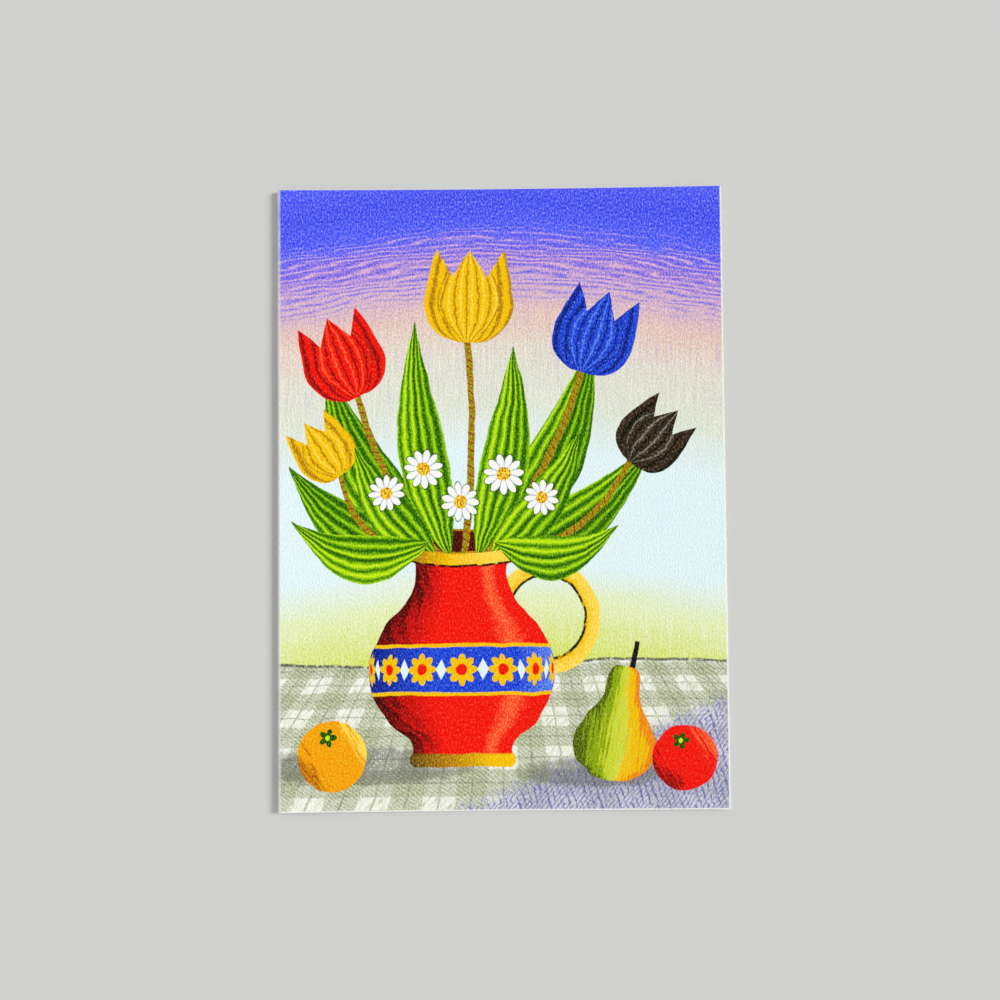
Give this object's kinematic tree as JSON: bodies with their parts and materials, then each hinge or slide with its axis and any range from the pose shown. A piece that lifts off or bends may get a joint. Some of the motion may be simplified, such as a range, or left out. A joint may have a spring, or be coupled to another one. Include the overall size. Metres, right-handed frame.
{
  "type": "notecard",
  "caption": "Folded paperboard notecard: printed front leaf and plain back leaf joined along a side fold, opening flat for writing inside.",
  "frame": {"origin": "on the table, under the middle of the closed card", "axes": "+X from the fold to the free edge, +Y to the card's top edge, +Z out of the printed front"},
  "size_m": [0.1141, 0.1588, 0.0018],
  "materials": {
    "printed_board": "uncoated wood-pulp paperboard with a matte full-bleed print",
    "plain_board": "uncoated white wood-pulp paperboard"
  },
  "bodies": {
    "back": {"back_leaf": "plain_board", "fold": "printed_board"},
    "front": {"front_leaf": "printed_board"}
  },
  "joints": [
    {"name": "fold_hinge", "type": "hinge", "parent": "back", "child": "front", "pos_m": [-0.05665, 0, 0.0009], "axis": [0, -1, 0], "range_deg": [0, 178], "deforming": ["fold"]}
  ]
}
